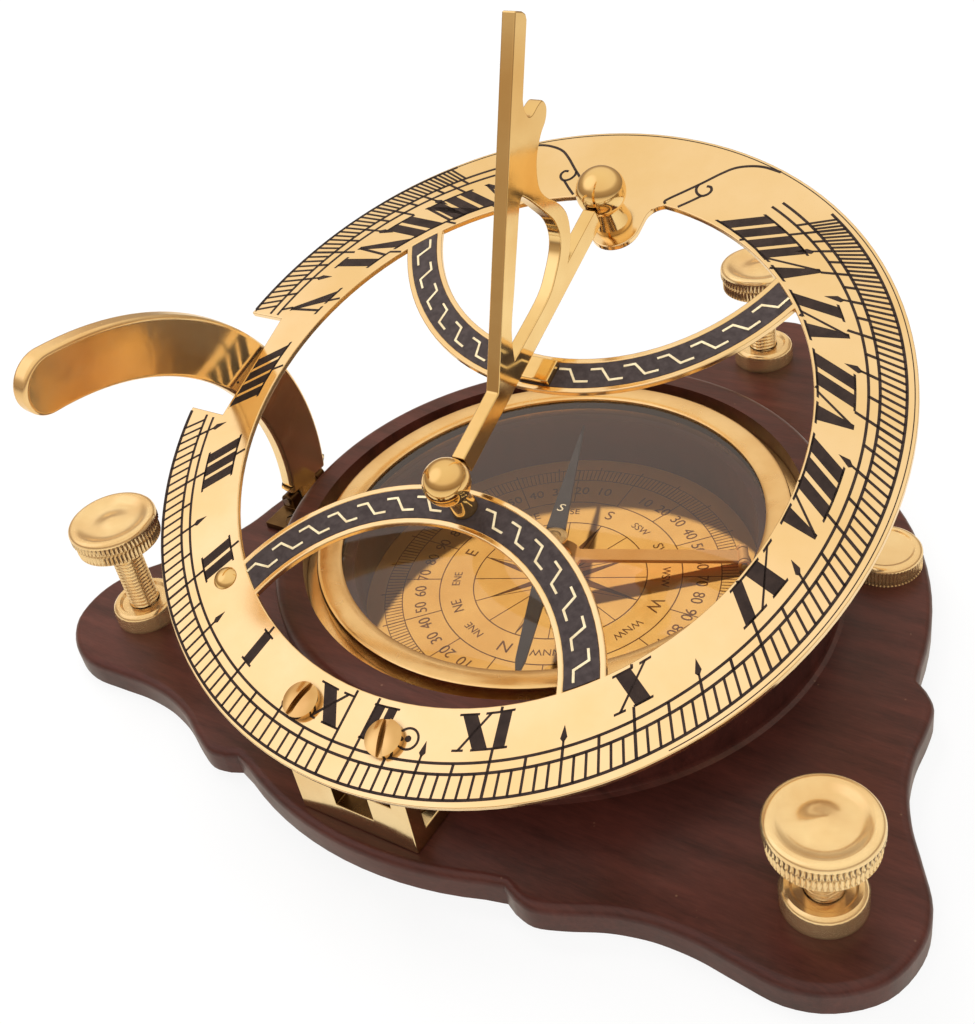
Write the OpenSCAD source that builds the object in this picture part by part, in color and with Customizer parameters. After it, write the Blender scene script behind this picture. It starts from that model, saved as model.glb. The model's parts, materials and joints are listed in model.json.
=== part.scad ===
// Folding equatorial sundial over a compass, on a three-lobed wooden base with levelling screws.
// Millimetres. +Z is up, +X is the compass dial's W side, -Y is the hinge and the XII side.
// The origin is the compass axis on the flat underside of the base.

/* [Base] */
// Thickness of the wooden base plate
base_t = 5; // [4:0.5:8]
// Radius of the base between its lobes
base_r = 63.4; // [62.8:0.1:65]
// Rounding of the base's upper edge
base_edge = 1.5; // [0.5:0.1:1.9]
// Twist of the base plate under the dial, degrees
base_twist = -2.9; // [-5:0.1:0]
// Distance of the two front levelling screws from the middle
front_screw_reach = 78.3; // [77:0.1:82]
// Distance of the rear levelling screw from the middle
rear_screw_reach = 81; // [77:0.1:84]
// How much further the left lobe reaches than the right one
left_lobe_more = 0.6; // [0:0.1:3]

/* [Levelling screws] */
// Radius of the threaded shank
shank_r = 2.8; // [2:0.1:3.2]
// Length of a levelling screw from the tip to the top of the head
screw_len = 22.2; // [21:0.1:24]
// Radius of the knurled head
head_r = 8; // [6:0.1:9]
// Height of the head
head_h = 5.4; // [4:0.1:6]
// Radius of the flange of a threaded bush
bush_r = 6.1; // [5:0.1:7]
// Height of the bush above the base
bush_h = 3.8; // [3:0.1:5]
// Height of the left screw's tip above the underside
left_tip_z = 5.7; // [1:0.1:6]
// Height of the right screw's tip above the underside
right_tip_z = 0.3; // [0.2:0.1:4]
// Height of the rear screw's tip above the underside
rear_tip_z = 5.6; // [1:0.1:6]

/* [Compass] */
// Outer radius of the compass case
case_r = 48.6; // [47:0.1:48.8]
// Height of the case above the base
case_h = 16.2; // [15:0.1:16.6]
// Radius of the well that holds the dial
well_r = 35.2; // [34:0.1:36]
// Thickness of the case floor
case_floor = 1.4; // [1:0.1:2]
// Outer radius of the brass bezel
bezel_r = 41; // [40:0.1:42]
// Radius of the bezel's opening
bezel_open_r = 36.6; // [36.2:0.1:37.5]
// Width of the dark groove between bezel and case
groove_w = 2.3; // [1:0.1:3]
// Height of the bezel above its seat
bezel_h = 4.3; // [4:0.1:5]
// Thickness of the glass
glass_t = 2; // [1:0.1:2.2]
// Thickness of the printed dial plate
dial_t = 0.6; // [0.4:0.1:1]

/* [Needle] */
// Length of one arm of the needle
needle_arm = 34.2; // [28:0.1:34.6]
// Thickness of the needle
needle_t = 0.6; // [0.3:0.1:0.9]
// Height of the needle's underside above the dial
needle_lift = 8.6; // [8.2:0.1:8.8]
// Direction of the needle's north arm, degrees
needle_dir = -70; // [-180:1:180]
// Radius of the brass cap on the needle
cap_r = 2.6; // [2:0.1:3]

/* [Needle arrest] */
// Direction of the arrest lever from the compass axis, degrees
lever_dir = 29; // [20:0.5:33]
// Distance of the lever's pivot from the compass axis
lever_reach = 32.4; // [28:0.1:32.6]
// Width of the lever
lever_w = 3; // [2:0.1:4]
// Thickness of the lever
lever_t = 0.7; // [0.5:0.1:1]
// Slope of the lever towards the needle, degrees
lever_slope = 7; // [5:0.5:7]
// Radius of the arrest knob on the base
knob_r = 6.3; // [4:0.1:6.5]
// Height of the arrest knob
knob_h = 3.7; // [3:0.1:5]

/* [Ring hinge] */
// Distance of the hinge axis in front of the compass axis
hinge_reach = 58.75; // [57.5:0.05:59.5]
// Height of the hinge axis above the base
hinge_h = 12.7; // [12.6:0.1:15]
// Radius of the ring's hinge pin
hinge_pin_r = 0.9; // [0.7:0.05:1.2]
// Thickness of the bracket's upright
bracket_t = 3; // [2.4:0.1:3.4]
// Width of the bracket
bracket_w = 22.1; // [20:0.1:26]
// Shift of the bracket and leaf from the middle, towards +X
bracket_shift = -1.05; // [-2:0.05:2]
// Width of the window in the bracket
window_w = 7; // [4:0.1:9]
// Width of each ear that holds the pin
ear_w = 3; // [2:0.1:4]
// Radius of the ears and the knuckle about the pin
ear_r = 2.2; // [1.6:0.1:2.3]
// Thickness of the leaf under the ring
leaf_t = 1.5; // [1:0.1:1.5]

/* [Hour ring] */
// Tilt of the hour ring at rest, degrees
ring_tilt = 22; // [0:0.5:24]
// Outer radius of the hour ring
ring_r = 62.5; // [60:0.1:64]
// Inner radius of the hour ring
ring_bore_r = 47.8; // [46:0.1:49]
// Thickness of the hour ring
ring_t = 1.1; // [0.9:0.1:1.6]
// Distance of the hinge axis from the ring's middle
ring_hinge_v = 58; // [56:0.1:60]
// Height of the ring's top face above the hinge axis
ring_lift = 5.9; // [5.7:0.1:8]
// Radius of the middle line of the near bridge
near_bridge_r = 32.75; // [30:0.05:34]
// Distance of the near bridge's centre from the ring's middle
near_bridge_v = 48.4; // [47:0.1:50]
// Width of the near bridge
near_bridge_w = 7.1; // [5:0.1:8]
// Radius of the middle line of the far bridge
far_bridge_r = 37.4; // [35:0.05:39]
// Distance of the far bridge's centre from the ring's middle
far_bridge_v = 48.3; // [47:0.1:50]
// Width of the far bridge
far_bridge_w = 6.6; // [5:0.1:8]
// Width of the plain rim beside the enamel channel
bridge_rim = 0.95; // [0.6:0.05:1.5]
// Depth of the enamel channel
channel_depth = 0.3; // [0.1:0.05:0.6]
// Width of the lug that carries the far post
lug_w = 8.7; // [8:0.1:11]

/* [Gnomon] */
// Thickness of the gnomon plate
gnomon_t = 2.3; // [1.5:0.1:2.6]
// Angle of the style above the ring, degrees
style_angle = 46.9; // [44:0.1:50]
// Length of the style edge
style_len = 56; // [50:0.1:58]
// Width of the style bar
style_w = 3.3; // [2.4:0.1:3.6]
// Height of the gnomon's fold axis above the ring
fold_n = 6.6; // [6.2:0.1:8]
// Height of the foot bar of the gnomon
foot_bar_h = 3.6; // [2.8:0.1:4]
// Radius of the near ball that holds the gnomon
ball_r = 3.8; // [3.4:0.1:4.4]
// Radius of the far ball
far_ball_r = 4.2; // [3.4:0.1:4.4]
// Height of the ball centres above the fold axis
ball_rise = 0.9; // [0:0.1:1]
// Distance of the near ball from the ring's middle, towards the hinge
near_post_v = 15.4; // [15:0.1:16.5]
// Distance of the far ball from the ring's middle
far_post_v = 42.5; // [42:0.1:44]
// Radius of the pivots at the ends of the gnomon
pivot_r = 0.9; // [0.7:0.05:1.1]

/* [Latitude arc] */
// Width of the latitude arc
arc_w = 10.6; // [8:0.1:11]
// Thickness of the latitude arc
arc_t = 3; // [2:0.1:3.2]
// Inward lean of the arc at rest, degrees
arc_lean = 9.5; // [6:0.5:9.5]
// Distance of the arc's fold axis from the compass axis
arc_axis_x = 62.75; // [62.2:0.05:64]
// Height of the arc's fold axis above the base
arc_axis_h = 2.8; // [2.6:0.1:3.4]
// How far the arc's middle radius exceeds the reach of the ring's hinge
arc_extra_r = 1.6; // [1:0.1:2]
// Angle that the arc spans above its foot, degrees
arc_span = 83; // [70:1:90]
// Radius of the arc's fold pin
arc_pin_r = 0.8; // [0.6:0.05:1]

/* [Clearances] */
// Radial clearance of a running pin in its hole
run_fit = 0.05; // [0.02:0.01:0.09]
// Gap between moving pieces that pass each other
gap = 0.3; // [0.2:0.05:0.4]

/* [Hidden] */
fine = 96;
brass = [0.86, 0.66, 0.30];
bright_brass = [0.93, 0.78, 0.45];
dark_brown = [0.27, 0.14, 0.11];

// Heights that several pieces share
base_top = base_t;
dial_top = base_top + case_floor + dial_t;
case_top = base_top + case_h;
bezel_seat = case_top - bezel_h;
needle_z = dial_top + needle_lift;

// Levelling screws: direction, distance and tip height of each
left_dir = base_twist - 150;
right_dir = base_twist - 30;
rear_dir = base_twist + 90;
bush_barrel_r = 4.2;

// Ring frame: the hinge axis, and the ring's middle on its top face
hinge_y = -hinge_reach;
hinge_z = base_top + hinge_h;
knuckle_gap = gap / 2;

// Fold axis and plane of the latitude arc
arc_axis_z = base_top + arc_axis_h;
arc_mid_r = ring_hinge_v + arc_extra_r;
arc_centre_y = hinge_y + 3.9;
arc_centre_s = 2.1;
arc_knuckle_r = 1.5;
arc_knuckle_y = 4.3;
arc_knuckle_w = 5.4;
arc_foot_w = arc_knuckle_w + 2 * 2.6;

// Notch in the ring that the arc passes through
notch_near = arc_w / 2 + 4.7;
notch_far = arc_w / 2 + 6.1;
notch_arc_top_z = hinge_z + (ring_hinge_v + arc_w / 2) * sin(ring_tilt) + ring_lift * cos(ring_tilt);
notch_floor_u = -arc_axis_x + arc_t / 2 / cos(arc_lean)
    + (notch_arc_top_z - arc_axis_z) * tan(arc_lean) + gap;

// One smooth curve through the points of a list, drawn in steps
function spline_point(a, b, c, d, t) = 0.5 * ((2 * b) + (c - a) * t
    + (2 * a - 5 * b + 4 * c - d) * t * t + (3 * b - a - 3 * c + d) * t * t * t);
function spline(p, steps) = [
    for (i = [0:len(p) - 2], k = [0:steps - 1])
        spline_point(p[max(i - 1, 0)], p[i], p[i + 1], p[min(i + 2, len(p) - 1)], k / steps)];
function turn(p, a) = [p[0] * cos(a) - p[1] * sin(a), p[0] * sin(a) + p[1] * cos(a)];

// Half of a lobe along and across its axis: its root beside the round part, then the nose that
// reaches round the screw, whose lengths are shares of the way from the root to the screw
lobe_corner = [52.4, 36.5];
lobe_root = [[54.6, 36.3], [57.9, 35.0], [60.9, 31.4]];
lobe_nose = [[0.117, 26.9], [0.282, 23.8], [0.472, 21.0], [0.761, 17.9], [1.104, 15.2],
    [1.472, 12.0], [1.73, 7.0], [1.847, 0]];
lobe_still_a = 62;

function lobe_half(reach) = concat(lobe_root,
    [for (p = lobe_nose) [lobe_still_a + p[0] * (reach - lobe_still_a), p[1]]]);
function lobe_line(h) = concat([for (p = h) [p[0], -p[1]]], [for (i = [len(h) - 2:-1:0]) h[i]]);
function lobe(reach) = concat([[lobe_corner[0], -lobe_corner[1]]],
    spline(lobe_line(lobe_half(reach)), 4), [lobe_root[0], lobe_corner]);
corner_angle = atan2(lobe_corner[1], lobe_corner[0]);
function waist(a) = [for (k = [1:15]) let (t = a + corner_angle + k * (120 - 2 * corner_angle) / 16)
    [base_r * cos(t), base_r * sin(t)]];
base_outline = concat(
    [for (p = lobe(front_screw_reach + left_lobe_more)) turn(p, left_dir)], waist(left_dir),
    [for (p = lobe(front_screw_reach)) turn(p, right_dir)], waist(right_dir),
    [for (p = lobe(rear_screw_reach)) turn(p, rear_dir)], waist(rear_dir));

// A point of a closed outline, moved inwards along the outline's normal
function inset_point(p, i, d) =
    let (a = p[(i + len(p) - 1) % len(p)], b = p[(i + 1) % len(p)], t = (b - a) / norm(b - a))
    p[i] + d * [-t[1], t[0]];
function inset(p, d) = [for (i = [0:len(p) - 1]) inset_point(p, i, d)];

// A plate from z = 0 to t with its upper edge rounded to radius r
module rounded_plate(outline, t, r, steps = 5) {
    n = len(outline);
    levels = concat([[0, 0]],
        [for (k = [0:steps]) let (a = 90 * k / steps) [r * (1 - cos(a)), t - r * (1 - sin(a))]]);
    points = [for (l = levels, p = inset(outline, l[0])) [p[0], p[1], l[1]]];
    bottom = [[for (i = [0:n - 1]) i]];
    top = [[for (i = [n - 1:-1:0]) (len(levels) - 1) * n + i]];
    sides = [for (l = [0:len(levels) - 2], i = [0:n - 1])
        [l * n + i, (l + 1) * n + i, (l + 1) * n + (i + 1) % n, l * n + (i + 1) % n]];
    polyhedron(points, concat(bottom, sides, top), convexity = 8);
}

// A ring of radius r with its inner radius, from z = 0 to h
module tube(r, inner_r, h) {
    difference() {
        cylinder(r = r, h = h, $fn = fine);
        translate([0, 0, -1]) cylinder(r = inner_r, h = h + 2, $fn = fine);
    }
}

// Places children at a levelling screw
module at_screw(dir, reach) {
    rotate([0, 0, dir]) translate([reach, 0, 0]) children();
}

// Places children in the ring's frame: X along the hinge, Y up the slope, Z off the top face
module on_ring() {
    translate([0, hinge_y, hinge_z]) rotate([ring_tilt, 0, 0])
        translate([0, ring_hinge_v, ring_lift]) children();
}

// Places children in the arc's frame: its fold axis along Y, Z up the leaning plate
module on_arc() {
    translate([-arc_axis_x, 0, arc_axis_z]) rotate([0, arc_lean, 0]) children();
}

module base_plate() {
    color(dark_brown) difference() {
        rounded_plate(base_outline, base_t, base_edge);
        at_screw(left_dir, front_screw_reach) bush_hole();
        at_screw(right_dir, front_screw_reach) bush_hole();
        at_screw(rear_dir, rear_screw_reach) bush_hole();
        rotate([0, 0, knob_dir]) translate([knob_reach, 0, -1])
            cylinder(r = knob_stem_r + run_fit, h = base_t + 2, $fn = fine);
    }
}

module bush_hole() {
    translate([0, 0, -1]) cylinder(r = bush_barrel_r, h = base_t + 2, $fn = fine);
}

// Threaded bush: a barrel through the base and a round flange with a raised rim on top
module levelling_bush() {
    color(brass) rotate_extrude($fn = fine) polygon([
        [shank_r + run_fit, 0], [bush_barrel_r, 0], [bush_barrel_r, base_top], [bush_r, base_top],
        [bush_r, base_top + bush_h - 0.9], [bush_r - 0.35, base_top + bush_h - 0.3],
        [bush_r - 0.8, base_top + bush_h], [bush_r - 1.5, base_top + bush_h],
        [bush_r - 1.9, base_top + bush_h - 0.5], [shank_r + run_fit, base_top + bush_h - 0.5]]);
}

module levelling_bush_left() {
    at_screw(left_dir, front_screw_reach) levelling_bush();
}

module levelling_bush_right() {
    at_screw(right_dir, front_screw_reach) levelling_bush();
}

module levelling_bush_rear() {
    at_screw(rear_dir, rear_screw_reach) levelling_bush();
}

// Levelling screw standing on its tip: shank, neck, knurled flange, groove and dished top
module levelling_screw() {
    top = screw_len;
    low = top - head_h;
    color(brass) rotate_extrude($fn = fine) polygon([
        [0, 0], [shank_r - 0.6, 0], [shank_r, 0.6], [shank_r, low - 1.2], [shank_r + 0.9, low - 0.6],
        [shank_r + 1.2, low], [head_r - 1.0, low], [head_r - 0.35, low + 0.4],
        [head_r - 0.35, low + 2.2], [head_r - 0.75, low + 2.4], [head_r - 0.75, low + 2.7],
        [head_r, low + 2.9], [head_r, top - 1.0], [head_r - 0.3, top - 0.35], [head_r - 0.9, top],
        [head_r - 1.6, top - 0.05], [head_r - 2.4, top - 0.75], [head_r - 3.6, top - 0.95],
        [head_r - 5.0, top - 0.75], [head_r - 6.4, top - 0.35], [head_r - 7.4, top - 0.12],
        [0, top - 0.05]]);
}

module levelling_screw_left() {
    at_screw(left_dir, front_screw_reach) translate([0, 0, left_tip_z]) levelling_screw();
}

module levelling_screw_right() {
    at_screw(right_dir, front_screw_reach) translate([0, 0, right_tip_z]) levelling_screw();
}

module levelling_screw_rear() {
    at_screw(rear_dir, rear_screw_reach) translate([0, 0, rear_tip_z]) levelling_screw();
}

// Compass case: floor, well for the dial, seat for the bezel and a round-edged rim
case_edge = 2.2;
rim_bore_r = bezel_r + groove_w;

module compass_case() {
    color(dark_brown) translate([0, 0, base_top]) rotate_extrude($fn = fine) difference() {
        union() {
            square([case_r, case_h - case_edge]);
            square([case_r - case_edge, case_h]);
            translate([case_r - case_edge, case_h - case_edge]) circle(r = case_edge, $fn = fine);
            polygon([[case_r - 1, 0], [case_r + 1.1, 0], [case_r + 0.4, 0.35], [case_r, 1.1]]);
        }
        translate([-case_r, -case_r]) square([case_r, 3 * case_r]);
        translate([0, case_floor]) square([well_r, case_h]);
        translate([0, case_h - bezel_h]) square([rim_bore_r, case_h]);
    }
}

// Bezel: a brass ring with a rounded crown, a foot flange on the seat and a recess for the glass
bezel_flange_t = 1;
glass_r = bezel_open_r + 2.3;
bezel_lip_t = 1;
retaining_t = bezel_h - bezel_lip_t - glass_t;

module compass_bezel() {
    color(brass) translate([0, 0, bezel_seat]) rotate_extrude($fn = fine) polygon([
        [glass_r, 0], [rim_bore_r - run_fit, 0], [rim_bore_r - run_fit, bezel_flange_t],
        [bezel_r, bezel_flange_t], [bezel_r, bezel_h - 0.8], [bezel_r - 0.25, bezel_h - 0.25],
        [bezel_r - 0.8, bezel_h], [bezel_open_r + 1.6, bezel_h], [bezel_open_r + 0.5, bezel_h - 0.2],
        [bezel_open_r, bezel_h - 0.6], [bezel_open_r, bezel_h - bezel_lip_t],
        [glass_r, bezel_h - bezel_lip_t]]);
}

module compass_glass() {
    color([0.8, 0.9, 0.9, 0.3]) translate([0, 0, bezel_seat + retaining_t])
        cylinder(r = glass_r - run_fit, h = glass_t, $fn = fine);
}

module glass_retaining_ring() {
    color(brass) translate([0, 0, bezel_seat]) tube(glass_r - run_fit, bezel_open_r + 0.3, retaining_t);
}

pivot_stem_r = 0.6;
pivot_foot_r = 2;

module compass_dial() {
    color(bright_brass) translate([0, 0, dial_top - dial_t]) tube(well_r - run_fit, pivot_stem_r, dial_t);
}

// Steel pin that stands in the case floor through the dial and carries the needle on its point
cap_socket_top = needle_z + needle_t + 0.5;

module needle_pivot() {
    tip = cap_socket_top - 0.15;
    color("silver") rotate_extrude($fn = fine) polygon([
        [0, dial_top - dial_t], [pivot_stem_r, dial_top - dial_t], [pivot_stem_r, dial_top],
        [pivot_foot_r, dial_top], [pivot_foot_r, dial_top + 0.5], [pivot_stem_r + 0.5, dial_top + 1],
        [pivot_stem_r, dial_top + 1.6], [pivot_stem_r, tip - 1.8], [0, tip]]);
}

// Needle: a long blade, pointed at the south end and blunter at the north end
cap_neck_r = 1.5;

module compass_needle() {
    color([0.22, 0.22, 0.24]) translate([0, 0, needle_z]) rotate([0, 0, needle_dir]) difference() {
        linear_extrude(needle_t) polygon([
            [needle_arm, 0], [needle_arm - 4.5, 0.85], [0, 1.9], [-needle_arm, 0.12],
            [-needle_arm, -0.12], [0, -1.9], [needle_arm - 4.5, -0.85]]);
        translate([0, 0, -1]) cylinder(r = cap_neck_r, h = needle_t + 2, $fn = fine);
    }
}

// Cap: a brass button through the needle with a conical socket below
module needle_cap() {
    cap_top = needle_z + needle_t;
    color(brass) rotate_extrude($fn = fine) polygon([
        [pivot_stem_r + 0.5, needle_z - 0.8], [cap_neck_r - 0.01, needle_z - 0.8],
        [cap_neck_r - 0.01, cap_top],
        [cap_r, cap_top], [cap_r, cap_top + 0.35], [cap_r - 0.5, cap_top + 0.5],
        [cap_r - 1.1, cap_top + 0.55], [cap_r - 1.5, cap_top + 0.9], [0, cap_top + 1.15],
        [0, cap_socket_top], [pivot_stem_r + 0.35, cap_socket_top - 1.7]]);
}

// Arrest lever: pivots on a small bracket beside the dial and lies under the needle's cap
lever_axis_h = 1.3;
lever_barrel_r = 1;
lever_pin_r = 0.5;
lever_ring_r = 4.3;
lever_ring_bore_r = 2.5;
lever_ear_t = 0.8;

module at_lever() {
    rotate([0, 0, lever_dir]) translate([lever_reach, 0, dial_top + lever_axis_h])
        rotate([0, lever_slope, 0]) children();
}

module across(r, w) {
    translate([0, w / 2, 0]) rotate([90, 0, 0]) cylinder(r = r, h = w, $fn = fine);
}

module arrest_lever() {
    color(brass) at_lever() difference() {
        union() {
            translate([-lever_reach + lever_ring_r - 0.5, -lever_w / 2, -lever_t / 2])
                cube([lever_reach - lever_ring_r + 0.5, lever_w, lever_t]);
            translate([-lever_reach, 0, -lever_t / 2]) cylinder(r = lever_ring_r, h = lever_t, $fn = fine);
            across(lever_barrel_r, lever_w);
        }
        translate([-lever_reach, 0, -1]) cylinder(r = lever_ring_bore_r, h = 3, $fn = fine);
        across(lever_pin_r + run_fit, lever_w + 1);
    }
}

module lever_bracket() {
    ear_out = lever_w / 2 + knuckle_gap;
    color(brass) rotate([0, 0, lever_dir]) translate([lever_reach, 0, dial_top]) difference() {
        for (side = [-1, 1]) translate([0, side * (ear_out + lever_ear_t / 2), 0]) {
            translate([-lever_barrel_r, -lever_ear_t / 2, 0])
                cube([2 * lever_barrel_r, lever_ear_t, lever_axis_h]);
            translate([0, 0, lever_axis_h]) across(lever_barrel_r, lever_ear_t);
        }
        translate([0, 0, lever_axis_h]) across(lever_pin_r, 2 * ear_out + 4);
    }
}

module lever_pin() {
    color("silver") rotate([0, 0, lever_dir]) translate([lever_reach, 0, dial_top + lever_axis_h])
        across(lever_pin_r, lever_w + 2 * knuckle_gap + 2 * lever_ear_t + 0.6);
}

// Arrest knob: a flat button beside the case, turning on a stem in the base
knob_dir = lever_dir - 1;
knob_reach = case_r + 1.1 + gap + knob_r;
knob_stem_r = 2;

module arrest_knob() {
    color(brass) rotate([0, 0, knob_dir]) translate([knob_reach, 0, 0]) rotate_extrude($fn = fine) polygon([
        [0, 0.4], [knob_stem_r, 0.4], [knob_stem_r, base_top], [knob_r, base_top],
        [knob_r, base_top + knob_h - 0.7], [knob_r - 0.3, base_top + knob_h - 0.15],
        [knob_r - 0.7, base_top + knob_h], [knob_r - 1.2, base_top + knob_h],
        [knob_r - 1.5, base_top + knob_h - 0.25], [0, base_top + knob_h - 0.25]]);
}

// Hinge bracket: an upright with a window and two ears, on a flange behind it
bracket_flange_t = 3;
bracket_flange_y = -case_r - 1.4;
window_sill_h = 4.1;
bracket_middle_h = 9;
bracket_screw_r = 1.4;

module at_bracket() {
    translate([bracket_shift, hinge_y, base_top]) children();
}

module hinge_bracket() {
    flange_l = bracket_flange_y - hinge_y;
    color(brass) at_bracket() difference() {
        union() {
            translate([-bracket_w / 2, -bracket_t / 2, 0]) cube([bracket_w, bracket_t, bracket_middle_h]);
            translate([-bracket_w / 2, 0, 0]) cube([bracket_w, flange_l, bracket_flange_t]);
            for (side = [-1, 1]) translate([side * (bracket_w - ear_w) / 2, 0, 0]) {
                translate([-ear_w / 2, -bracket_t / 2, 0]) cube([ear_w, bracket_t, hinge_h]);
                translate([-ear_w / 2, 0, hinge_h]) rotate([0, 90, 0])
                    cylinder(r = ear_r, h = ear_w, $fn = fine);
            }
        }
        translate([-window_w / 2, -bracket_t, window_sill_h]) cube([window_w, 2 * bracket_t, 20]);
        translate([-bracket_w, 0, hinge_h]) rotate([0, 90, 0])
            cylinder(r = hinge_pin_r, h = 2 * bracket_w, $fn = fine);
        for (side = [-1, 1]) translate([side * bracket_w / 3.2, flange_l - 4, -1])
            cylinder(r = bracket_screw_r + run_fit, h = 10, $fn = fine);
    }
}

// Slotted screw with a domed head, its head seat at z = 0 and its shank below
module domed_screw(head, shank, length, slot_w, wall = 0.3, dome_h = 0.8) {
    dome_r = (head * head + dome_h * dome_h) / 2 / dome_h;
    difference() {
        union() {
            intersection() {
                translate([0, 0, dome_h - dome_r + wall]) sphere(r = dome_r, $fn = fine);
                cylinder(r = head, h = dome_h + wall + 1, $fn = fine);
            }
            translate([0, 0, -length]) cylinder(r = shank, h = length + 0.1, $fn = fine);
        }
        translate([-head, -slot_w / 2, wall * 0.6]) cube([2 * head, slot_w, dome_h + wall + 1]);
    }
}

module bracket_screws() {
    flange_l = bracket_flange_y - hinge_y;
    color(brass) at_bracket() for (side = [-1, 1])
        translate([side * bracket_w / 3.2, flange_l - 4, bracket_flange_t])
            rotate([0, 0, 35]) domed_screw(2.2, bracket_screw_r, bracket_flange_t, 0.6);
}

module hinge_pin() {
    color("silver") translate([bracket_shift - bracket_w / 2 - 0.4, hinge_y, hinge_z]) rotate([0, 90, 0])
        cylinder(r = hinge_pin_r, h = bracket_w + 0.8, $fn = fine);
}

// Leaf under the ring with its knuckle between the ears; its frame is the ring's
leaf_screw_r = 1.5;
leaf_screw_head = 2.9;
leaf_screw_places = [[-9.5, -52.5], [6.4, -53.4]];
leaf_l = 11;
knuckle_w = bracket_w - 2 * ear_w - 2 * knuckle_gap;

module ring_hinge_leaf() {
    leaf_w = bracket_w - 0.6;
    color(brass) on_ring() difference() {
        union() {
            translate([bracket_shift - leaf_w / 2, -ring_hinge_v - 1.6, -ring_t - leaf_t])
                cube([leaf_w, leaf_l, leaf_t]);
            translate([bracket_shift - knuckle_w / 2, -ring_hinge_v, -ring_lift]) rotate([0, 90, 0])
                cylinder(r = ear_r, h = knuckle_w, $fn = fine);
            translate([bracket_shift - knuckle_w / 2, -ring_hinge_v - 1.2, -ring_lift])
                cube([knuckle_w, 2.9, ring_lift - ring_t]);
        }
        translate([bracket_shift - bracket_w, -ring_hinge_v, -ring_lift]) rotate([0, 90, 0])
            cylinder(r = hinge_pin_r + run_fit, h = 2 * bracket_w, $fn = fine);
        for (p = leaf_screw_places) translate([p[0], p[1], -ring_lift - 5])
            cylinder(r = leaf_screw_r, h = 20, $fn = fine);
    }
}

module leaf_screws() {
    color(brass) on_ring() for (i = [0, 1])
        translate([leaf_screw_places[i][0], leaf_screw_places[i][1], 0])
            rotate([0, 0, 76 + 30 * i])
                domed_screw(leaf_screw_head, leaf_screw_r, ring_t + leaf_t, 1, 1, 0.55);
}

// Bridge of the ring: the part of a circular band that lies inside the ring's bore
module bridge(v, r, w) {
    intersection() {
        translate([0, v, -ring_t]) tube(r + w / 2, r - w / 2, ring_t);
        translate([0, 0, -ring_t]) cylinder(r = ring_bore_r + 0.4, h = ring_t, $fn = fine);
    }
}

// Shallow channel in a bridge that holds the enamel
module channel(v, r, w) {
    intersection() {
        translate([0, v, -channel_depth]) tube(r + w / 2 - bridge_rim, r - w / 2 + bridge_rim, 1);
        translate([0, 0, -1]) cylinder(r = ring_bore_r, h = 3, $fn = fine);
    }
}

lug_tip_v = far_post_v - 5.3;
lug_u = 0.8;
post_hole_near = 1.6;
post_hole_far = 2;
rivet_place = [-34.8, -38.2];
rivet_stem_r = 0.8;

module hour_ring() {
    color(bright_brass) on_ring() difference() {
        union() {
            translate([0, 0, -ring_t]) tube(ring_r, ring_bore_r, ring_t);
            bridge(-near_bridge_v, near_bridge_r, near_bridge_w);
            bridge(far_bridge_v, far_bridge_r, far_bridge_w);
            ring_lug();
        }
        channel(-near_bridge_v, near_bridge_r, near_bridge_w);
        channel(far_bridge_v, far_bridge_r, far_bridge_w);
        translate([-2 * ring_r + notch_floor_u, -notch_near, -ring_t - 1])
            cube([2 * ring_r, notch_near + notch_far, ring_t + 2]);
        translate([0, -near_post_v, -ring_t - 1]) cylinder(r = post_hole_near, h = 5, $fn = fine);
        translate([0, far_post_v, -ring_t - 1]) cylinder(r = post_hole_far, h = 5, $fn = fine);
        for (p = leaf_screw_places) translate([p[0], p[1], -ring_t - 1])
            cylinder(r = leaf_screw_r, h = 5, $fn = fine);
        translate([rivet_place[0], rivet_place[1], -ring_t - 1])
            cylinder(r = rivet_stem_r, h = 5, $fn = fine);
    }
}

// Lug inside the ring for the far post: a round-ended tab with hollow fillets at its root
module ring_lug() {
    fillet = 3;
    root_v = sqrt(ring_bore_r * ring_bore_r - pow(lug_w / 2 + fillet, 2));
    translate([lug_u, 0, -ring_t]) {
        translate([0, lug_tip_v + lug_w / 2, 0]) cylinder(r = lug_w / 2, h = ring_t, $fn = fine);
        translate([-lug_w / 2, lug_tip_v + lug_w / 2, 0])
            cube([lug_w, ring_bore_r + 1 - lug_tip_v - lug_w / 2, ring_t]);
        for (side = [-1, 1]) difference() {
            translate([side > 0 ? lug_w / 2 - 0.2 : -lug_w / 2 - fillet + 0.2, root_v - fillet, 0])
                cube([fillet, fillet + 1.4, ring_t]);
            translate([side * (lug_w / 2 + fillet), root_v - fillet, -1])
                cylinder(r = fillet, h = ring_t + 2, $fn = fine);
        }
    }
}

module ring_rivet() {
    rivet_head = 2;
    color(brass) on_ring() translate([rivet_place[0], rivet_place[1], 0]) {
        intersection() {
            translate([0, 0, -1.2]) sphere(r = 2.4, $fn = fine);
            cylinder(r = rivet_head, h = 3, $fn = fine);
        }
        translate([0, 0, -ring_t]) cylinder(r = rivet_stem_r, h = ring_t + 0.2, $fn = fine);
    }
}

// Ball on a tapered post, riveted through the ring; the hole for the gnomon's pivot faces along Y
ball_n = fold_n + ball_rise;
pivot_depth = 3;

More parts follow.
